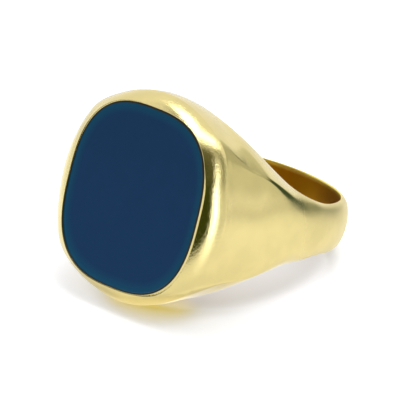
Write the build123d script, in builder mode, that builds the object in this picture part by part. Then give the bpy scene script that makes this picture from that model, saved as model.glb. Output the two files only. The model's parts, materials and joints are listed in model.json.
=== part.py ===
"""Gentleman's signet ring: gold shank and head, a gold rim, and a flat cushion-shaped signet stone.

The ring lies on its side as it is put down on a table. It touches the table with the lower edge
of its head and with the back of its shank, so its finger bore leans back from upright by ring_tilt.
Origin: the centre of the finger bore. +Z is up from the table, and the stone faces -Y.
"Depth" is the distance in front of the bore's axis, towards the stone's face.
"""
from build123d import *
from math import cos, radians, sin
import os

# driving dimensions, in millimetres
finger_radius = 9.5          # UK size R 1/2, US size 9
shank_thickness = 1.0        # at the back of the finger
shank_half_width = 2.3       # along the bore, at the back of the finger
head_half_width = 8.45       # across the finger, where the rim sits on the head
head_half_height = 8.9       # along the finger, at the same place
seam_depth = 11.9            # joint between the head and its rim
ridge_depth = 12.47          # sharp outer edge of the rim's sloping band
face_depth = 13.33           # the stone's polished face
ridge_half_width, ridge_half_height = 7.95, 8.58

stone_half_width = 7.0       # a 16 x 14 mm calibrated cushion
stone_half_height = 8.0
stone_thickness = 2.0
stone_bevel_width = 0.4      # polished bevel round the face
stone_bevel_depth = 0.25
stone_squareness = 2.75      # exponent of the outline: 2 is an ellipse, 4 nearly a rectangle
lip_overlap = 0.29           # how far the rim's lip is burnished over the stone
lip_flat = 0.2               # width of the lip's flat top
ridge_squareness = 2.49

cement_gap = 0.1             # all round the stone
cement_bed = 0.15            # under the stone
plate_thickness = 0.6        # seat plate that carries the stone
opening_half_width = 5.0     # opening through the head behind the seat plate
opening_half_height = 6.0

# the shank and head, slice by slice from the bore's axis to the seam:
# depth, half width, half height, squareness of the slice's two ends
slices = (
    (0.0, finger_radius + shank_thickness, shank_half_width, 2.1),
    (2.5, 10.6, 2.95, 3.2),
    (5.0, 10.37, 4.35, 3.4),
    (7.0, 9.98, 6.1, 3.0),
    (8.5, 9.58, 7.6, 2.7),
    (9.8, 9.15, 8.6, 2.45),
    (seam_depth, head_half_width, head_half_height, 2.25),
)
least_flat = 0.5             # half width of the flat at the middle of the widest slices

# lean of the bore's axis, with which the head's lower edge and the shank's back touch the table
ring_tilt = 18.3

face_normal = Vector(0, -cos(radians(ring_tilt)), sin(radians(ring_tilt)))
bore_axis = Vector(0, sin(radians(ring_tilt)), cos(radians(ring_tilt)))


def across(depth):
    """The plane parallel to the stone's face at a depth, with y along the finger."""
    return Plane(origin=face_normal * depth, x_dir=(1, 0, 0), z_dir=face_normal)


def end_points(half_width, half_height, squareness, flat, first_angle=-90, last_angle=90):
    """Points round an outline, counter-clockwise, beyond the flat at its middle."""
    points = []
    for angle in range(first_angle, last_angle + 1, 15):
        c, s = round(cos(radians(angle)), 9), round(sin(radians(angle)), 9)
        x = flat + (half_width - flat) * abs(c) ** (2 / squareness)
        y = half_height * abs(s) ** (2 / squareness)
        points.append((x if c >= 0 else -x, y if s > 0 else -y))
    return points


def cushion(depth, half_width, half_height, squareness):
    """A face on the plane at a depth, with four bowed sides and round corners."""
    with BuildSketch(across(depth)) as face:
        with BuildLine():
            points = end_points(half_width, half_height, squareness, 0, 0, 345)
            Spline(points, periodic=True)
        make_face()
    return face.sketch


def flat_half_width(depth):
    """Half width of a slice's flat upper side, which the finger bore takes away."""
    return max(least_flat, (finger_radius - 0.1) * (1 - (depth / finger_radius) ** 2))


def slice_end(half_width, half_height, squareness, flat, side=1):
    """The round end of a slice, drawn counter-clockwise, on its right or left side."""
    points = [(side * x, side * y) for x, y in end_points(half_width, half_height, squareness, flat)]
    return Spline(points, tangents=((side, 0), (-side, 0)))


def body_slice(depth, half_width, half_height, squareness):
    """A face on the plane at a depth: a flat upper and lower side and two round ends."""
    flat = flat_half_width(depth)
    with BuildSketch(across(depth)) as face:
        with BuildLine():
            right = slice_end(half_width, half_height, squareness, flat)
            left = slice_end(half_width, half_height, squareness, flat, side=-1)
            Line(right @ 1, left @ 0)
            Line(left @ 1, right @ 0)
        make_face()
    return face.sketch


def stone_outline(depth, margin):
    """The stone's outline at a depth, moved outward by a margin."""
    return cushion(depth, stone_half_width + margin, stone_half_height + margin, stone_squareness)


bevel_start = face_depth - stone_bevel_depth
stone_back = face_depth - stone_thickness
plate_front = stone_back - cement_bed
plate_back = plate_front - plate_thickness

# signet stone: a flat cushion with a polished bevel round its face
with BuildPart() as stone:
    extrude(stone_outline(stone_back, 0), bevel_start - stone_back, dir=face_normal)
    loft([stone_outline(bevel_start, 0), stone_outline(face_depth, -stone_bevel_width)], ruled=True)

# setting cement: a thin bed under the stone and round its edge
with BuildPart() as setting_cement:
    extrude(stone_outline(plate_front, cement_gap), bevel_start - plate_front, dir=face_normal)
    add(stone.part, mode=Mode.SUBTRACT)

# seat plate: carries the stone and closes the setting towards the finger
with BuildPart() as seat_plate:
    extrude(stone_outline(plate_back, cement_gap), plate_thickness, dir=face_normal)

# rim: soldered on the head, with a sloping band and a lip over the stone's bevel
seam_slice = slices[-1]
with BuildPart() as bezel_rim:
    loft(
        [
            cushion(*seam_slice),
            cushion(ridge_depth, ridge_half_width, ridge_half_height, ridge_squareness),
        ],
        ruled=True,
    )
    loft(
        [
            cushion(ridge_depth, ridge_half_width, ridge_half_height, ridge_squareness),
            stone_outline(face_depth, lip_flat - lip_overlap),
        ],
        ruled=True,
    )
    extrude(
        stone_outline(seam_depth, cement_gap),
        bevel_start - seam_depth,
        dir=face_normal,
        mode=Mode.SUBTRACT,
    )
    extrude(
        stone_outline(bevel_start, -lip_overlap),
        stone_bevel_depth,
        dir=face_normal,
        mode=Mode.SUBTRACT,
    )
    add(stone.part, mode=Mode.SUBTRACT)

# ring body: shank, shoulders and head in one casting, made as a right half and mirrored
with BuildPart() as ring_body:
    loft([body_slice(*one) for one in slices])
    split(bisect_by=Plane.YZ, keep=Keep.TOP)
    # the rest of the shank: the end of the first slice, turned about the bore's axis to the back
    with BuildSketch(across(0)):
        with BuildLine():
            end = slice_end(*slices[0][1:], flat_half_width(0))
            Line(end @ 1, end @ 0)
        make_face()
    revolve(axis=Axis((0, 0, 0), bore_axis), revolution_arc=90)
    # finger bore
    with BuildSketch(Plane(origin=(0, 0, 0), x_dir=(1, 0, 0), z_dir=bore_axis)):
        Circle(finger_radius)
    extrude(amount=2 * head_half_height, both=True, mode=Mode.SUBTRACT)
    # pocket for the seat plate, and the opening behind it
    extrude(
        stone_outline(plate_back, cement_gap),
        seam_depth - plate_back,
        dir=face_normal,
        mode=Mode.SUBTRACT,
    )
    extrude(
        cushion(finger_radius / 2, opening_half_width, opening_half_height, stone_squareness),
        plate_back - finger_radius / 2,
        dir=face_normal,
        mode=Mode.SUBTRACT,
    )
    mirror(about=Plane.YZ)

os.makedirs("parts", exist_ok=True)
ring_body.part.label = "ring_body"
export_step(ring_body.part, "parts/ring_body.step")
bezel_rim.part.label = "bezel_rim"
export_step(bezel_rim.part, "parts/bezel_rim.step")
seat_plate.part.label = "seat_plate"
export_step(seat_plate.part, "parts/seat_plate.step")
setting_cement.part.label = "setting_cement"
export_step(setting_cement.part, "parts/setting_cement.step")
stone.part.label = "stone"
export_step(stone.part, "parts/stone.step")
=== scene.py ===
import json
from math import atan2, cos, degrees, pi, radians, sin

import bmesh
import bpy
import numpy as np
from mathutils import Matrix, Vector


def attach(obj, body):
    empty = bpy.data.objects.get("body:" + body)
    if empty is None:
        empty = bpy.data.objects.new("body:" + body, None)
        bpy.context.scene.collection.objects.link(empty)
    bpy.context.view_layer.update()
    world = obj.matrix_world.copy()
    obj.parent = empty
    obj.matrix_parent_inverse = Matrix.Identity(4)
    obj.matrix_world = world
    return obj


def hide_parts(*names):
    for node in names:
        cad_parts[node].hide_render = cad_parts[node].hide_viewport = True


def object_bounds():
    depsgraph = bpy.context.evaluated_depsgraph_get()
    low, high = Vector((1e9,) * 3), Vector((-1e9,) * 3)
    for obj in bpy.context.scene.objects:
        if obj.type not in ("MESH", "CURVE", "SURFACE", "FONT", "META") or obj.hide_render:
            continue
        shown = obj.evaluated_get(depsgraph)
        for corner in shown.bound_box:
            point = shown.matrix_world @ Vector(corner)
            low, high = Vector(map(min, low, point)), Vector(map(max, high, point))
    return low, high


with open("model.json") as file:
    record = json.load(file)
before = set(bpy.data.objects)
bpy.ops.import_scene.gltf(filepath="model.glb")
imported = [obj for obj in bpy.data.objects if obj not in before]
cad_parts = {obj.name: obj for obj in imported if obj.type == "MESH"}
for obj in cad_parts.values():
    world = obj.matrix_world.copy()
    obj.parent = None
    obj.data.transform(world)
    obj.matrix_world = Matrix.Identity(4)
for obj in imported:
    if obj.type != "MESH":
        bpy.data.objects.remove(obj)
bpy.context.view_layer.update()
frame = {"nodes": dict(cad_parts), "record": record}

MM = 0.001
mounts = {m["name"]: m for m in frame["record"]["mounts"]}
BORE_AXIS = Vector(mounts["finger_bore"]["axis"])
FACE_NORMAL = Vector(mounts["seal_face"]["axis"])
BORE_RADIUS = mounts["finger_bore"]["dims"]["r_mm"]
FACE_DEPTH = Vector(mounts["seal_face"]["pos_m"]).length / MM


def place(x, depth, along):
    """A point of the ring, in metres, in the frame."""
    return (Vector((x, 0, 0)) + FACE_NORMAL * depth + BORE_AXIS * along) * MM


# ---------------------------------------------------------------- sizes
SEAM_DEPTH = 11.9                   # where the rim sits on the head
STONE_HALF = (7.0, 8.0)             # half the stone's width and height
STONE_POWER = 2.75                  # squareness of its outline, where 2 would be an ellipse
STONE_BACK = FACE_DEPTH - 2.0
STONE_CHAMFER = 0.3                 # round the stone's back
BEVEL_DEPTH = FACE_DEPTH - 0.25     # where the polished bevel round the stone's face starts
BEVEL_WIDTH = 0.4
LIP_OVERLAP = 0.27                  # how far the rim's lip covers the stone's edge
PLATE_FRONT = STONE_BACK - 0.15     # the seat plate, behind the stone and its cement
PLATE_BACK = PLATE_FRONT - 0.6
CEMENT_GAP = 0.1                    # round the stone and the plate
OPENING_HALF = (5.0, 6.0)           # the opening in the head, from behind the plate to the bore
OPENING_BACK = 5.0

# the body's outer profile, by angle round the bore from the face's middle: angle, radius, and
# the half height and the squareness of the shank's section
PROFILE = (
    (35.4, 14.60, 8.90, 2.25),
    (43.0, 13.41, 8.60, 2.45),
    (48.4, 12.81, 7.60, 2.7),
    (55.0, 12.19, 6.10, 3.0),
    (64.3, 11.51, 4.35, 3.3),
    (76.7, 10.90, 2.95, 3.0),
    (90.0, 10.60, 2.35, 2.3),
    (110.0, 10.52, 2.25, 2.1),
    (145.0, 10.50, 2.25, 2.1),
    (180.0, 10.50, 2.28, 2.1),
)
# the head's sections: depth, half height of the side's ellipse, height of the cheek above it,
# how fast the cheek falls away to the sides, and the rounding of the crease between the two
HEAD = (
    (0.0, 9.5, 4.85, 0.0300, 1.20),
    (2.1, 10.0, 5.43, 0.0312, 0.95),
    (4.2, 10.4, 6.27, 0.0345, 0.65),
    (6.3, 11.2, 7.49, 0.0420, 0.24),
    (8.4, 11.2, 8.42, 0.0508, 0.09),
    (9.4, 10.7, 8.63, 0.0558, 0.10),
    (10.5, 10.3, 8.86, 0.0598, 0.15),
    (11.9, 10.2, 8.94, 0.0600, 0.30),
)
BLEND_DEPTHS = (0.6, 4.8)           # the shank's sections turn into the head's between these
INNER_RADIUS = BORE_RADIUS - 0.1    # the shank section's inner limit, just inside the bore
EDGE_ROUND = 0.16                   # rounding of the bore's edges
FULL_CORNER = 0.028                 # how much fuller the hand-filed head is at its lower left
FULL_FROM = 8.8                     # the depth from which it gets fuller
SHANK_SCALE, CHEEK_SCALE = 1.2, 0.8     # these bring the skin's measures near to millimetres
SEARCH = (0.01, 14.0)               # the reach within which the skin is looked for


def spline(keys, values):
    """A smooth curve through a few values, flat at its last key, as a function of an array."""
    k, v = np.array(keys, float), np.array(values, float)
    n, h = len(k), np.diff(k)
    a, b = np.zeros((n, n)), np.zeros(n)
    a[0, 0] = 1
    for i in range(1, n - 1):
        a[i, i - 1:i + 2] = h[i - 1], 2 * (h[i - 1] + h[i]), h[i]
        b[i] = 6 * ((v[i + 1] - v[i]) / h[i] - (v[i] - v[i - 1]) / h[i - 1])
    a[n - 1, n - 2:] = h[-1], 2 * h[-1]
    b[n - 1] = -6 * (v[-1] - v[-2]) / h[-1]
    m = np.linalg.solve(a, b)

    def at(x):
        x = np.clip(np.asarray(x, float), k[0], k[-1])
        i = np.clip(np.searchsorted(k, x) - 1, 0, n - 2)
        p, q = k[i + 1] - x, x - k[i]
        return (
            (m[i] * p ** 3 + m[i + 1] * q ** 3) / (6 * h[i])
            + (v[i] / h[i] - m[i] * h[i] / 6) * p
            + (v[i + 1] / h[i] - m[i + 1] * h[i] / 6) * q
        )

    return at


outer_radius, shank_height, shank_power = (
    spline([p[0] for p in PROFILE], [p[i] for p in PROFILE]) for i in (1, 2, 3)
)
side_height, cheek_top, cheek_fall, crease_round = (
    spline([p[0] for p in HEAD], [p[i] for p in HEAD]) for i in (1, 2, 3, 4)
)
profile_angles = np.linspace(91, PROFILE[0][0], 60)
half_width = spline(
    outer_radius(profile_angles) * np.cos(np.radians(profile_angles)),
    outer_radius(profile_angles) * np.sin(np.radians(profile_angles)),
)
SEAM_WIDTH = float(half_width(SEAM_DEPTH))


def ease(x, start, end):
    """A soft step, from 0 at the start to 1 at the end."""
    t = np.clip((x - start) / (end - start), 0, 1)
    return t ** 3 * (t * (6 * t - 15) + 10)


def side_and_cheek(x, depth, z):
    """How far a point is outside the head's side and its cheek, and its depth in the head."""
    d = np.clip(depth, 0, SEAM_DEPTH)
    width = half_width(d)
    side = width * (np.sqrt((x / width) ** 2 + (z / side_height(d)) ** 2) - 1)
    cheek = CHEEK_SCALE * (z - cheek_top(d) + cheek_fall(d) * x * x)
    return side, cheek, d


def skin(x, depth, z):
    """Below zero inside the body, above zero outside it, for points with z above mid height."""
    # the shank's rounded section, on planes through the bore's axis
    angle = np.degrees(np.arctan2(x, depth))
    power = shank_power(angle)
    u = np.maximum(np.hypot(x, depth) - INNER_RADIUS, 0) / (outer_radius(angle) - INNER_RADIUS)
    section = (u ** power + (z / shank_height(angle)) ** power) ** (1 / power)
    shank = SHANK_SCALE * (section - 1)
    # the head's section, where the side and the cheek meet in a rounded crease
    side, cheek, d = side_and_cheek(x, depth, z)
    blend = crease_round(d)
    head = np.maximum(side, cheek) + np.maximum(blend - abs(side - cheek), 0) ** 2 / (4 * blend)
    at_head = ease(depth, *BLEND_DEPTHS)
    return (1 - at_head) * shank + at_head * head


def fill(x, depth, z):
    """Where a point of the skin goes, which is outward at the head's fuller corner."""
    corner = np.where((x < 0) & (z < 0), 2 * x * z / (x * x + z * z + 1e-9), 0) ** 3
    grown = 1 + FULL_CORNER * corner * ease(depth, FULL_FROM, SEAM_DEPTH)
    return x * grown, z * grown


def solve(function, shape):
    """An array of the reaches at which a function, which rises out of the skin, is zero."""
    low, high = np.full(shape, SEARCH[0]), np.full(shape, SEARCH[1])
    for _ in range(44):
        middle = (low + high) / 2
        above = function(middle) > 0
        high = np.where(above, middle, high)
        low = np.where(above, low, middle)
    return (low + high) / 2


# ---------------------------------------------------------------- mesh helpers
SEGMENTS = 384        # of the outlines round the stone
CUT_SEGMENTS = 256    # of the outlines that are cut from the body


def new_object(name, verts, faces):
    mesh = bpy.data.meshes.new(name)
    mesh.from_pydata(verts, [], faces)
    mesh.validate()
    obj = bpy.data.objects.new(name, mesh)
    bpy.context.scene.collection.objects.link(obj)
    for p in mesh.polygons:
        p.use_smooth = True
    return obj


def clean(obj, merge=1e-7):
    """Merges points closer than a distance in metres, and turns every face outward."""
    bm = bmesh.new()
    bm.from_mesh(obj.data)
    bmesh.ops.remove_doubles(bm, verts=bm.verts, dist=merge)
    bmesh.ops.recalc_face_normals(bm, faces=bm.faces)
    bm.to_mesh(obj.data)
    bm.free()


def sharpen(obj, angle):
    """Smooth shading, with a crisp edge wherever two faces meet at more than an angle."""
    bm = bmesh.new()
    bm.from_mesh(obj.data)
    for f in bm.faces:
        f.smooth = True
    for e in bm.edges:
        e.smooth = not (e.is_manifold and e.calc_face_angle(0) > radians(angle))
    bm.to_mesh(obj.data)
    bm.free()


def cushion(half_x, half_z, segments):
    """Points of a cushion-shaped outline, which is as square as the stone's."""
    turn = 2 * pi * np.arange(segments) / segments
    c, s = np.cos(turn), np.sin(turn)
    x = half_x * np.sign(c) * abs(c) ** (2 / STONE_POWER)
    z = half_z * np.sign(s) * abs(s) ** (2 / STONE_POWER)
    return np.stack([x, z], -1)


def ring_of_loops(name, loops, closed=True):
    """A skin through outlines, each (points, depth). It is a ring if closed, or else capped."""
    segments = len(loops[0][0])
    verts, faces = [], []
    for points, depths in loops:
        for (x, z), depth in zip(points, np.broadcast_to(depths, len(points))):
            verts.append(place(float(x), float(depth), float(z)))
    count = len(loops)
    for i in range(count if closed else count - 1):
        j = (i + 1) % count
        for k in range(segments):
            m = (k + 1) % segments
            faces.append((i * segments + k, i * segments + m, j * segments + m, j * segments + k))
    if not closed:
        faces.append(tuple(range(segments))[::-1])
        faces.append(tuple((count - 1) * segments + k for k in range(segments)))
    obj = new_object(name, verts, faces)
    clean(obj)
    return obj


def stone_loop(margin, depth, segments=SEGMENTS):
    """The stone's outline, grown by a margin, at a depth."""
    return cushion(STONE_HALF[0] + margin, STONE_HALF[1] + margin, segments), depth


# ---------------------------------------------------------------- ring body
CHEEK_ROWS = 16       # from the seam to the bore, over the middle of the head
FRONT_ROWS = 70       # from the bore's foremost line to its side
BACK_ROWS = 60        # from there to the back
PROFILE_COLUMNS = 60  # from mid height to the bore's edge
WALL_COLUMNS = 15     # down the bore's wall, from its edge to mid height
ROUND_STEPS = 4       # round the bore's edge
WIDTH_FROM = 3.0      # in front of this depth, the rows' outer ends follow the head's width
CROWDING = 1.5        # how much the columns crowd at the crease
CREASE_PLACES = (0.2, 0.8)    # where in a row the crease can be, from mid height to the top
CREASE_DEPTHS = (2.0, 6.0)    # between these, the columns move from mid row to the crease
SMOOTHED_ROWS = 9             # over which the crease's place is averaged
BODY_MERGE = 2e-6     # metres
BODY_SHARP = 32       # the body's edges are crisp from this angle


def body_rows():
    """The right half's rows, in plan: outer ends, inner ends and angles (radians) in the bore."""
    edge_radius = BORE_RADIUS + EDGE_ROUND
    total = CHEEK_ROWS + FRONT_ROWS
    outer, inner, angles = [], [], []
    first_angle = atan2(SEAM_WIDTH, SEAM_DEPTH)
    for i in range(total + 1):
        outer_angle = first_angle + (pi / 2 - first_angle) * i / total
        r = float(outer_radius(degrees(outer_angle)))
        depth = min(r * cos(outer_angle), SEAM_DEPTH) if i < total else 0.0
        x = float(half_width(depth)) if depth > WIDTH_FROM else r * sin(outer_angle)
        outer.append((x, depth))
        if i < CHEEK_ROWS:
            angles.append(None)
            inner.append((0.0, SEAM_DEPTH + (edge_radius - SEAM_DEPTH) * i / CHEEK_ROWS))
        else:
            a = pi / 2 * (i - CHEEK_ROWS) / FRONT_ROWS
            angles.append(a)
            inner.append((edge_radius * sin(a), edge_radius * cos(a) if i < total else 0.0))
    for i in range(1, BACK_ROWS + 1):
        a = pi / 2 + pi / 2 * i / BACK_ROWS
        angles.append(a)
        r = float(outer_radius(degrees(a)))
        x = sin(a) if i < BACK_ROWS else 0.0
        outer.append((r * x, r * cos(a)))
        inner.append((edge_radius * x, edge_radius * cos(a)))
    return np.array(outer), np.array(inner), angles


def crowded(count, centre):
    """Steps from 0 to 1 that crowd round a centre, with one row of steps for each centre."""
    t = np.linspace(-1, 1, count + 1)[None, :]
    c = centre[:, None]
    eased = np.sign(t) * np.abs(t) ** CROWDING
    return np.where(t < 0, c * (1 + eased), c + (1 - c) * eased)


def outer_skin(outer, inner):
    """Points of the upper half's outside, each row from mid height to over its inner end."""
    reach = np.hypot(*(outer - inner).T)
    along = (outer - inner) / reach[:, None]

    def point(rise, r):
        """At a reach and a rise (radians) from each row's inner end, at mid height."""
        flat = r * np.cos(rise)
        return (
            inner[:, :1] + along[:, :1] * flat,
            inner[:, 1:] + along[:, 1:] * flat,
            r * np.sin(rise),
        )

    def on_skin(steps):
        rise = steps * pi / 2
        return point(rise, solve(lambda r: skin(*point(rise, r)), rise.shape))

    # the crease's place in each row, where the side gives way to the cheek
    steps = np.linspace(0, 1, PROFILE_COLUMNS + 1)[None, :].repeat(len(outer), 0)
    side, cheek, _ = side_and_cheek(*on_skin(steps))
    crease = np.argmax(cheek > side, axis=1) / PROFILE_COLUMNS
    padded = np.pad(crease, SMOOTHED_ROWS // 2, mode="edge")
    smooth = np.convolve(padded, np.ones(SMOOTHED_ROWS) / SMOOTHED_ROWS, "valid")
    weight = ease(outer[:, 1], *CREASE_DEPTHS)
    centre = np.clip(weight * smooth + (1 - weight) * 0.5, *CREASE_PLACES)
    return np.stack(on_skin(crowded(PROFILE_COLUMNS, centre)), -1)


def bore_wall(row, angle):
    """From a row's end round the bore's edge, and down the bore's wall to mid height."""
    x, depth = BORE_RADIUS * sin(angle) if angle < pi else 0.0, BORE_RADIUS * cos(angle)
    height = solve(lambda v: skin(x, depth, v), 1)[0]
    start, corner = Vector(row[-1]), Vector((x, depth, height))
    end = Vector((x, depth, height - EDGE_ROUND))
    line = [start]
    for k in range(1, ROUND_STEPS + 1):
        t = k / ROUND_STEPS
        line.append(start * (1 - t) ** 2 + corner * 2 * t * (1 - t) + end * t * t)
    for k in range(1, WALL_COLUMNS + 1):
        line.append(Vector((x, depth, end.z * (1 - k / WALL_COLUMNS))))
    return line


def make_body():
    outer, inner, angles = body_rows()
    rows = outer_skin(outer, inner)
    rows[:, -1, :2] = inner
    rows[:CHEEK_ROWS, -1, 0] = 0
    verts, faces = [], []

    def grid(lines, sx, sz):
        """A net over lines of points, mirrored by signs for x and along."""
        start, width = len(verts), len(lines[0])
        for line in lines:
            for x, depth, along in line:
                x, along = fill(sx * x, depth, sz * along)
                verts.append(place(float(x), float(depth), float(along)))
        for i in range(len(lines) - 1):
            for j in range(width - 1):
                a = start + i * width + j
                faces.append((a, a + 1, a + width + 1, a + width))

    walls = [bore_wall(row, angle) for row, angle in zip(rows, angles) if angle is not None]
    # the flat top of the head, from the seam to the middle
    top = [[(x * part, SEAM_DEPTH, z) for x, _, z in rows[0]] for part in (1, 0)]
    for sx in (1, -1):
        for sz in (1, -1):
            for lines in (rows, walls, top):
                grid(lines, sx, sz)
    body = new_object("ring_body_skin", verts, faces)
    clean(body, BODY_MERGE)
    return body


def cut(obj, loops):
    """Takes the cushion-shaped block between two loops away from an object."""
    tool = ring_of_loops("cutter", loops, closed=False)
    step = obj.modifiers.new("cut", "BOOLEAN")
    step.operation = "DIFFERENCE"
    step.solver = "EXACT"
    step.object = tool
    dg = bpy.context.evaluated_depsgraph_get()
    mesh = bpy.data.meshes.new_from_object(obj.evaluated_get(dg))
    obj.modifiers.clear()
    obj.data = mesh
    bpy.data.objects.remove(tool)


# the setting and the opening behind it are cut from the body, and each cut overruns a little
body = make_body()
setting, _ = stone_loop(CEMENT_GAP, 0, CUT_SEGMENTS)
cut(body, [(setting, PLATE_BACK), (setting, SEAM_DEPTH + 1)])
opening = cushion(*OPENING_HALF, CUT_SEGMENTS)
cut(body, [(opening, OPENING_BACK), (opening, PLATE_BACK + 0.5)])
sharpen(body, BODY_SHARP)
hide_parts("ring_body")
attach(body, "root")


# ---------------------------------------------------------------- rim
LIP_BACK = BEVEL_DEPTH - 0.2      # where the wall round the stone turns in to the lip
LIP_RISE = 0.03           # how far the lip stands above the stone's face
LIP_ROUND = 0.10          # radius of the lip's rounded edge
LIP_TURN = (-35, 70)      # from where to where it is rounded, up from level
LIP_STEPS = 7
LIP_FACET = 0.20          # width of the lip's burnished facet
FACET_RISE = 0.055        # how much higher the lip's crest is outside the facet
FACET_X = (2.0, 5.5)      # the facet comes in on the right side, between these
FACET_ALONG = (2.0, 4.8)  # and goes out again towards the top, between these
CREST_WIDTH = 0.03        # the crest, between the lip and the band
CREST_RISE = 0.006
BAND_SLOPE = 0.56         # the band's first slope, as a part of the rim's whole slope
CORNER_SLOPE = 0.10       # what the upper corners' first slope has more
CORNER_POWER = 6          # how narrow these corners are
BAND_TURN = 2.6           # how late the band turns down
BAND_END = 0.05           # what the last curl, at the seam, has of the fall
END_TURN = 12             # how late the last curl comes
BAND_STEPS = 48
BAND_CROWDING = 0.9       # the steps get a little shorter towards the seam
RIM_SHARP = 40            # the rim's edges are crisp from this angle


def seam_line(points):
    """Points of the body's outline at the seam, in the same directions as the ones given."""
    reach = np.hypot(*points.T)
    x, z = abs(points[:, 0]) / reach, abs(points[:, 1]) / reach
    depth = np.full(len(points), SEAM_DEPTH)
    r = solve(lambda v: skin(x * v, depth, z * v), len(points))
    points = points * (r / reach)[:, None]
    return np.stack(fill(points[:, 0], depth, points[:, 1]), -1)


def make_rim():
    edge, _ = stone_loop(-LIP_OVERLAP, 0)
    outward = edge - stone_loop(-LIP_OVERLAP - 1, 0)[0]
    burnish = ease(edge[:, 0], *FACET_X) * (1 - ease(edge[:, 1], *FACET_ALONG))
    lip = FACE_DEPTH + LIP_RISE
    top = lip + burnish * FACET_RISE
    # the wall round the stone, and the lip's rounded edge, its facet and its crest
    loops = [stone_loop(CEMENT_GAP, SEAM_DEPTH), stone_loop(CEMENT_GAP, LIP_BACK)]
    for k in range(LIP_STEPS + 1):
        t = radians(LIP_TURN[0] + (LIP_TURN[1] - LIP_TURN[0]) * k / LIP_STEPS)
        points = edge + outward * LIP_ROUND * (1 - cos(t))
        loops.append((points, lip - LIP_ROUND * (1 - sin(t))))
    points = points + outward * (LIP_FACET * burnish)[:, None]
    loops.append((points, top - CREST_RISE))
    start = points + outward * CREST_WIDTH
    loops.append((start, top))
    # the sloping band, which turns over a soft ridge into the side
    end = seam_line(start)
    turn = np.arctan2(edge[:, 1], abs(edge[:, 0]))
    corner = np.where(turn > 0, np.sin(2 * turn) ** CORNER_POWER, 0)
    slope = BAND_SLOPE + CORNER_SLOPE * corner
    middle = 1 - slope - BAND_END
    for k in range(1, BAND_STEPS + 1):
        t = (k / BAND_STEPS) ** BAND_CROWDING
        fall = slope * t + middle * t ** BAND_TURN + BAND_END * t ** END_TURN
        loops.append((start + (end - start) * t, top - (top - SEAM_DEPTH) * fall))
    rim = ring_of_loops("rim_skin", loops)
    sharpen(rim, RIM_SHARP)
    return rim


rim = make_rim()
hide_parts("bezel_rim")
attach(rim, "root")


# ---------------------------------------------------------------- stone, its cement and the painted shadow of the gap under the lip
STONE_SHARP, CEMENT_SHARP = 10, 30      # their edges are crisp from these angles
CEMENT_BITE = 0.02                      # the cement goes this far into the stone
BED_FRONT = STONE_BACK - 0.005          # the bed, under the stone
BED_REACH = 3.0                         # how far in under the stone the bed goes
GAP_SHADE_SHIFT = np.array([0.06, 0.06])     # the dark line, which is painted shadow of the gap under the lip, is wider at the top right by this

stone = ring_of_loops(
    "signet_stone",
    [
        stone_loop(-STONE_CHAMFER, STONE_BACK),
        stone_loop(0, STONE_BACK + STONE_CHAMFER),
        stone_loop(0, BEVEL_DEPTH),
        stone_loop(-BEVEL_WIDTH, FACE_DEPTH),
    ],
    closed=False,
)
sharpen(stone, STONE_SHARP)
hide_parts("stone")
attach(stone, "root")


def gap_shade_loop(width, rise):
    """The dark line of cement that stands in as painted shadow of the gap under the lip, at a
    distance in from the lip, and at a rise above the stone's face.
    """
    points, depth = stone_loop(-LIP_OVERLAP - width, FACE_DEPTH + rise)
    return points - GAP_SHADE_SHIFT, depth


# the bed, the wall round the stone, and a thin dark line under the lip, which is painted shadow: it
# stands in for the shaded gap between the lip and the stone
cement = ring_of_loops(
    "cement_and_gap_shade_skin",
    [
        stone_loop(CEMENT_GAP, PLATE_FRONT),
        stone_loop(CEMENT_GAP, BEVEL_DEPTH - 0.25),
        stone_loop(-LIP_OVERLAP + 0.10, FACE_DEPTH - 0.06),
        stone_loop(-LIP_OVERLAP, FACE_DEPTH - 0.003),
        gap_shade_loop(0.045, 0.012),
        gap_shade_loop(0.095, 0.003),
        gap_shade_loop(0.105, -0.02),
        stone_loop(-CEMENT_BITE, BEVEL_DEPTH - CEMENT_BITE),
        stone_loop(-CEMENT_BITE, STONE_BACK + STONE_CHAMFER + 0.01),
        stone_loop(-CEMENT_BITE - STONE_CHAMFER, BED_FRONT),
        stone_loop(-BED_REACH, BED_FRONT),
        stone_loop(-BED_REACH, PLATE_FRONT),
    ],
)
sharpen(cement, CEMENT_SHARP)
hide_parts("setting_cement")
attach(cement, "root")


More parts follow.
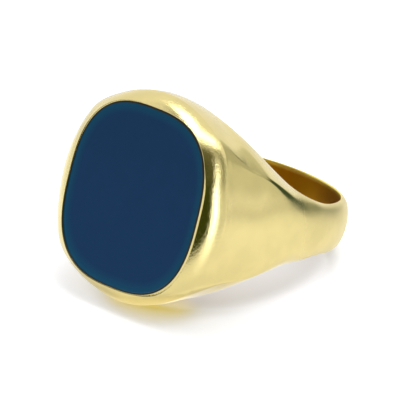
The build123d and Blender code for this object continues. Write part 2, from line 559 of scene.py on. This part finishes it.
# ---------------------------------------------------------------- materials
class Nodes:
    """Short forms for building a node tree."""

    def __init__(self, tree):
        self.tree = tree

    def add(self, kind, **settings):
        node = self.tree.nodes.new(kind)
        for key, value in settings.items():
            setattr(node, key, value)
        return node

    def link(self, value, socket):
        if isinstance(value, bpy.types.NodeSocket):
            self.tree.links.new(value, socket)
        else:
            socket.default_value = value

    def math(self, operation, *values):
        node = self.add("ShaderNodeMath", operation=operation)
        for value, socket in zip(values, node.inputs):
            self.link(value, socket)
        return node.outputs[0]

    def ramp(self, value, low, high, start=0.0, end=1.0):
        """A soft step from a start, where the value is low, to an end, where it is high."""
        node = self.add("ShaderNodeMapRange", interpolation_type="SMOOTHSTEP")
        for v, key in ((value, 0), (low, 1), (high, 2), (start, 3), (end, 4)):
            self.link(v, node.inputs[key])
        return node.outputs[0]

    def window(self, value, low, high, soft):
        """One between low and high, with soft edges."""
        rise = self.ramp(value, low - soft / 2, low + soft / 2)
        fall = self.ramp(value, high - soft / 2, high + soft / 2, 1.0, 0.0)
        return self.math("MULTIPLY", rise, fall)

    def mix(self, factor, a, b):
        node = self.add("ShaderNodeMix", data_type="RGBA")
        for v, key in ((factor, 0), (a, 6), (b, 7)):
            self.link(v, node.inputs[key])
        return node.outputs[2]

    def noise(self, position, size, detail=2.0, stretch=(1, 1, 1)):
        """Cloudy noise about 0.5, whose lumps are about a size in millimetres."""
        node = self.add("ShaderNodeTexNoise")
        scale = self.add("ShaderNodeMapping")
        self.link(position, scale.inputs["Vector"])
        scale.inputs["Scale"].default_value = [v / (size * MM) for v in stretch]
        self.link(scale.outputs[0], node.inputs["Vector"])
        node.inputs["Scale"].default_value = 1.0
        node.inputs["Detail"].default_value = detail
        return node.outputs[0]

    def vector(self, operation, *values):
        node = self.add("ShaderNodeVectorMath", operation=operation)
        for value, socket in zip(values, node.inputs):
            self.link(value, socket)
        return node.outputs["Value" if operation in ("DOT_PRODUCT", "LENGTH") else "Vector"]


def new_material(name):
    """A material, its short forms, its shader's sockets and the position on the object."""
    mat = bpy.data.materials.new(name)
    mat.use_nodes = True
    n = Nodes(mat.node_tree)
    position = n.add("ShaderNodeTexCoord").outputs["Object"]
    return mat, n, mat.node_tree.nodes["Principled BSDF"].inputs, position


def dress(obj, mat):
    obj.data.materials.clear()
    obj.data.materials.append(mat)


GOLD = (0.735, 0.620, 0.275)
WORN_GOLD = (*[v * 0.955 for v in GOLD], 1)
CLEAR_GOLD = (*[v * 1.01 for v in GOLD], 1)
# painted shade: a deep, dark amber for the gold inside the bore, for light lost between its facing
# walls
BORE_SHADE_GOLD = (0.42, 0.21, 0.005, 1)
# painted highlight: a light gold for the bore's far upper edge, where a rounded edge would catch
# light from above
BORE_EDGE_HIGHLIGHT_GOLD = (0.95, 0.80, 0.18, 1)
CLOUD_SIZE, WEAR_SIZE = 2.2, 0.35       # sizes of the lumps of cloudy wear and of fine wear
GRAIN_SIZE, CROSS_SIZE = 0.10, 0.08     # widths of the scratches each way
GRAIN_STRETCH, CROSS_STRETCH = (1, 0.25, 1), (0.2, 1, 0.6)
SCRATCH_DEPTH = 0.006
WALL_REACH = (BORE_RADIUS + 0.04, BORE_RADIUS + 0.14)    # the bore's duller finish and its painted shade fade out here
EDGE_HIGHLIGHT_ALONG = (1.75, 2.2)      # the painted highlight on the bore's edge, along its axis
# from where to where, towards the back (the frame's +Y), the bore's edge gets its painted highlight
# and the outside of the shank turns to satin
EDGE_HIGHLIGHT_BACK, SATIN_BACK = (2, 6), (-4.5, -1.5)
WALL_DULL, SATIN_DULL = 0.25, 0.27      # what these finishes add to the roughness


def painted_bore_light_and_satin(n, position, colour, rough):
    """The duller wall inside the bore with its painted shade, a painted highlight along its far edge,
    and the satin back of the shank.
    """

    def over(value, limits, *ends):
        return n.ramp(value, limits[0] * MM, limits[1] * MM, *ends)

    reach = n.vector("LENGTH", n.vector("CROSS_PRODUCT", position, tuple(BORE_AXIS)))
    along = n.vector("DOT_PRODUCT", position, tuple(BORE_AXIS))
    back = n.vector("DOT_PRODUCT", position, (0, 1, 0))
    wall = over(reach, WALL_REACH, 1.0, 0.0)
    # painted shade: inside the bore the gold is coloured deep, dark amber
    colour = n.mix(wall, colour, BORE_SHADE_GOLD)
    rough = n.math("MULTIPLY_ADD", wall, WALL_DULL, rough)
    # painted highlight: a lighter gold band along the bore's edge, on its far side only
    edge = n.math("MULTIPLY", wall, over(along, EDGE_HIGHLIGHT_ALONG))
    edge = n.math("MULTIPLY", edge, over(back, EDGE_HIGHLIGHT_BACK))
    colour = n.mix(edge, colour, BORE_EDGE_HIGHLIGHT_GOLD)
    satin = n.math("MULTIPLY", over(back, SATIN_BACK), n.math("SUBTRACT", 1.0, wall))
    return colour, n.math("MULTIPLY_ADD", satin, SATIN_DULL, rough)


def make_gold(name, shine, scratches, bore=False):
    """Polished gold with cloudy wear and fine scratches, with or without the bore's duller finish,
    painted shade and painted edge highlight.
    """
    mat, n, shader, position = new_material(name)
    cloud = n.noise(position, CLOUD_SIZE, 3.0)
    wear = n.noise(position, WEAR_SIZE, 4.0)
    colour = n.mix(n.ramp(cloud, 0.35, 0.65), WORN_GOLD, CLEAR_GOLD)
    rough = n.math("MULTIPLY_ADD", wear, 0.10, shine - 0.05)
    if bore:
        colour, rough = painted_bore_light_and_satin(n, position, colour, rough)
    n.link(colour, shader["Base Color"])
    n.link(rough, shader["Roughness"])
    shader["Metallic"].default_value = 1.0
    grain = n.noise(position, GRAIN_SIZE, 3.0, GRAIN_STRETCH)
    cross = n.noise(position, CROSS_SIZE, 3.0, CROSS_STRETCH)
    height = n.math("MULTIPLY_ADD", wear, 1.2, n.math("ADD", grain, cross))
    bump = n.add("ShaderNodeBump")
    bump.inputs["Strength"].default_value = 1.0
    bump.inputs["Distance"].default_value = SCRATCH_DEPTH * scratches * MM
    n.link(height, bump.inputs["Height"])
    n.link(bump.outputs[0], shader["Normal"])
    return mat


STONE_BLUES = ((0.0143, 0.0550, 0.156, 1), (0.0165, 0.0620, 0.175, 1))
# painted light: the lighter, greener blue of the edge stands in for light caught in the bevelled edge
LIT_STONE_EDGE_BLUE = (0.0120, 0.098, 0.200, 1)
STONE_EDGE = (0.82, 0.97)     # where the edge's painted light comes in, as parts of the half size
STONE_IOR = 1.54


def make_stone_material():
    """Dark blue polished stone, painted a little lighter and greener towards its edge, as painted
    light caught in its bevelled edge.
    """
    mat, n, shader, position = new_material("blue_stone")
    x = n.vector("DOT_PRODUCT", position, (1 / (STONE_HALF[0] * MM), 0, 0))
    z = n.vector("DOT_PRODUCT", position, tuple(BORE_AXIS / (STONE_HALF[1] * MM)))
    x = n.math("POWER", n.math("ABSOLUTE", x), STONE_POWER)
    z = n.math("POWER", n.math("ABSOLUTE", z), STONE_POWER)
    edge = n.math("POWER", n.math("ADD", x, z), 1 / STONE_POWER)
    cloud = n.noise(position, 1.5, 3.0)
    middle = n.mix(cloud, *STONE_BLUES)
    # painted light towards the stone's edge
    colour = n.mix(n.ramp(edge, *STONE_EDGE), middle, LIT_STONE_EDGE_BLUE)
    n.link(colour, shader["Base Color"])
    n.link(n.math("MULTIPLY_ADD", cloud, 0.03, 0.04), shader["Roughness"])
    shader["IOR"].default_value = STONE_IOR
    return mat


# near black: the cement's colour, and the painted shadow of the gap where its line shows under the
# lip
CEMENT_AND_GAP_SHADE_COLOURS = ((0.006, 0.010, 0.009, 1), (0.014, 0.020, 0.017, 1))


def make_cement_and_gap_shade():
    """Dark, dull cement, near black so that its line under the lip serves as painted shadow of the
    gap.
    """
    mat, n, shader, position = new_material("dark_cement_and_gap_shade")
    n.link(n.mix(n.noise(position, 0.12, 3.0), *CEMENT_AND_GAP_SHADE_COLOURS), shader["Base Color"])
    shader["Roughness"].default_value = 0.6
    return mat


# the table: the middle and half size of each of its parts, and what light each gives, as seen
# directly and as cast on the metal
SHADE_PLACE, SHADE_SIZE = (0.5, -1.0), (10.0, 14.1)    # the ring's soft shadow
GLOW_PLACE, GLOW_SIZE = (1.8, -12.3), (4.3, 3.3)       # warm light thrown by the head
FAR_SIZE = (30, 30)                                    # round the shadow, beyond which it dims
SHADE_FADE, GLOW_FADE, FAR_FADE = (0.70, 1.00), (0.60, 1.30), (1.0, 2.6)    # parts of the sizes
TABLE_SEEN, SHADE_SEEN, GLOW_SEEN = (0.46, 0.47, 0.52, 1), (0.09, 0.09, 0.09, 1), (0.24, 0.18, 0.0, 1)
TABLE_CAST, FAR_CAST, GLOW_CAST = (0.42, 0.42, 0.42, 1), (0.08, 0.08, 0.08, 1), (0.72, 0.68, 0.50, 1)
GLOW_SHADE = -0.4                       # how much the glow's middle takes from the open table
TABLE_COLOURS = ((0.67, 0.67, 0.67, 1), (0.69, 0.69, 0.69, 1))
TABLE_ROUGH, SEEN_ROUGH = 0.12, 0.38    # its roughness, and what that has more as seen directly
TABLE_IOR = 1.8
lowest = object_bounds()[0].z


def make_table():
    """A white light table, slightly glossy, with the ring's soft shadow and warm glow on it."""
    mat, n, shader, position = new_material("light_table")
    n.link(n.mix(n.noise(position, 40.0), *TABLE_COLOURS), shader["Base Color"])

    def away(place, size):
        """The distance from a place on the table, as a part of a size."""
        offset = n.vector("SUBTRACT", position, (place[0] * MM, place[1] * MM, lowest))
        scale = (1 / (size[0] * MM), 1 / (size[1] * MM), 0)
        return n.vector("LENGTH", n.vector("MULTIPLY", offset, scale))

    open_table = n.ramp(away(SHADE_PLACE, SHADE_SIZE), *SHADE_FADE)
    glow = n.ramp(away(GLOW_PLACE, GLOW_SIZE), *GLOW_FADE, 1.0, 0.0)
    open_table = n.math("MULTIPLY_ADD", glow, GLOW_SHADE, open_table)
    seen = n.mix(open_table, n.mix(glow, SHADE_SEEN, GLOW_SEEN), TABLE_SEEN)
    far = n.ramp(away(SHADE_PLACE, FAR_SIZE), *FAR_FADE)
    cast = n.mix(glow, n.mix(far, TABLE_CAST, FAR_CAST), GLOW_CAST)
    camera = n.add("ShaderNodeLightPath").outputs["Is Camera Ray"]
    n.link(n.mix(camera, cast, seen), shader["Emission Color"])
    shader["Emission Strength"].default_value = 1.0
    n.link(n.math("MULTIPLY_ADD", camera, SEEN_ROUGH, TABLE_ROUGH), shader["Roughness"])
    shader["IOR"].default_value = TABLE_IOR
    return mat


dress(body, make_gold("polished_gold", 0.11, 0.30, bore=True))
dress(rim, make_gold("rim_gold", 0.10, 1.5))
dress(stone, make_stone_material())
dress(cement, make_cement_and_gap_shade())
dress(frame["nodes"]["seat_plate"], make_gold("satin_gold", 0.35, 0.8))


# ---------------------------------------------------------------- floor, light and camera
# the table's edges in metres: left, right, front, which is just in front of the ring, and back
TABLE = (-1.5, 1.5, -0.060, 3.0)
floor = new_object(
    "table",
    [(TABLE[i], TABLE[j], lowest) for i, j in ((0, 2), (1, 2), (1, 3), (0, 3))],
    [(0, 1, 2, 3)],
)
dress(floor, make_table())

# The studio is a white tent that is open, and dark, towards the camera. Its walls are given by
# turn (from the front, positive to the right) and rise above the horizon, in degrees: turn from
# and to, rise from and to, softness of both, lean (turn for each degree of rise above
# LEAN_FROM), radiance.
STUDIO_STRENGTH = 1.22
LEAN_FROM = 6.0
WALLS = (0.88, 0.88, 0.88)
PANELS = (
    (-200, 200, 45, 95, 4, 14, 0, (0.90, 0.90, 0.90)),       # roof
    (104, 200, 4, 30, 14, 12, 0, (0.66, 0.67, 0.62)),        # shaded foot of the back wall
    (118, 200, -8, 12, 8, 6, 0, (0.66, 0.67, 0.62)),         # its lowest part
    (-100, 60, 60, 95, 20, 8, 0, (0.50, 0.50, 0.52)),        # front of the roof
    (62, 200, 68, 95, 20, 8, 0, (3.2, 3.2, 3.2)),            # light over the table
    (-200, -108, 66, 95, 16, 8, 0, (6.0, 6.0, 6.0)),         # its left half
    (100, 148, 57, 75, 16, 8, 0, (3.0, 3.0, 3.0)),           # its right end
    (-150, -112, 60, 75, 16, 6, 0, (3.0, 3.0, 3.0)),         # its left end
    (-55, 100, 20, 57, 14, 8, 0, (0.13, 0.13, 0.075)),       # upper edge of the opening
    (-52, 55, -60, 33, 10, 16, 0, (0.042, 0.052, 0.008)),    # the opening
    (56, 69, -30, 36, 5, 14, 0.45, (3.5, 3.6, 4.0)),         # leaning strip light on the right
    (73, 96, -4, 56, 6, 10, 0, (0.72, 0.72, 0.68)),          # its stand
    (84, 97, 16, 56, 6, 10, 0, (0.26, 0.27, 0.20)),          # the stand's dark head
    (126, 170, 14, 28, 10, 6, 0, (0.48, 0.49, 0.44)),        # shade over the gap between two walls
    (130, 174, -8, 17, 8, 6, 0, (0.05, 0.08, 0.05)),         # the gap
)


def make_world():
    world = bpy.data.worlds.new("studio")
    bpy.context.scene.world = world
    world.use_nodes = True
    n = Nodes(world.node_tree)
    background = n.tree.nodes["Background"]
    direction = n.add("ShaderNodeSeparateXYZ")
    n.link(n.add("ShaderNodeTexCoord").outputs["Generated"], direction.inputs[0])
    x, y, z = direction.outputs
    turn = n.math("DEGREES", n.math("ARCTAN2", x, n.math("MULTIPLY", y, -1.0)))
    rise = n.math("DEGREES", n.math("ARCSINE", z))
    colour = (*WALLS, 1.0)
    for t0, t1, r0, r1, soft_t, soft_r, lean, radiance in PANELS:
        leaning = turn
        if lean:
            upward = n.math("MAXIMUM", n.math("SUBTRACT", rise, LEAN_FROM), 0.0)
            leaning = n.math("MULTIPLY_ADD", upward, -lean, turn)
        across = n.window(leaning, t0, t1, soft_t)
        inside = n.math("MULTIPLY", across, n.window(rise, r0, r1, soft_r))
        colour = n.mix(inside, colour, (*radiance, 1.0))
    seen = n.add("ShaderNodeLightPath").outputs["Is Camera Ray"]
    n.link(n.mix(seen, colour, (1.0, 1.0, 1.0, 1.0)), background.inputs["Color"])
    background.inputs["Strength"].default_value = STUDIO_STRENGTH


make_world()
bpy.context.scene.view_settings.view_transform = "Standard"

# the camera looks at the ring from the right of its face and from above
VIEW_TURN = radians(33.51)     # round the bore's axis, from the face's normal
VIEW_RISE = radians(10.69)     # above the plane across the bore
VIEW_ROLL = radians(14.05)
VIEW_DISTANCE = 414.75
LENS, SENSOR = 442.1, 36
AIM_LEFT, AIM_DOWN = 2.16, 0.42   # from the bore's centre to the middle of the picture


def make_camera():
    y_axis = -FACE_NORMAL
    back = (
        Vector((1, 0, 0)) * sin(VIEW_TURN) * cos(VIEW_RISE)
        - y_axis * cos(VIEW_TURN) * cos(VIEW_RISE)
        + BORE_AXIS * sin(VIEW_RISE)
    )
    level = Vector((1, 0, 0)) * cos(VIEW_TURN) + y_axis * sin(VIEW_TURN)
    above = back.cross(level)
    right = cos(VIEW_ROLL) * level + sin(VIEW_ROLL) * above
    up = -sin(VIEW_ROLL) * level + cos(VIEW_ROLL) * above
    data = bpy.data.cameras.new("camera")
    camera = bpy.data.objects.new("camera", data)
    bpy.context.scene.collection.objects.link(camera)
    data.lens = LENS
    data.sensor_width = SENSOR
    data.clip_start, data.clip_end = 0.01, 10     # metres
    eye = back * VIEW_DISTANCE * MM
    aim = (-right * AIM_LEFT - up * AIM_DOWN) * MM
    view_back = (eye - aim).normalized()
    view_right = up.cross(view_back).normalized()
    view_up = view_back.cross(view_right)
    turn = Matrix((view_right, view_up, view_back)).transposed().to_4x4()
    camera.matrix_world = Matrix.Translation(eye) @ turn
    bpy.context.scene.camera = camera


make_camera()
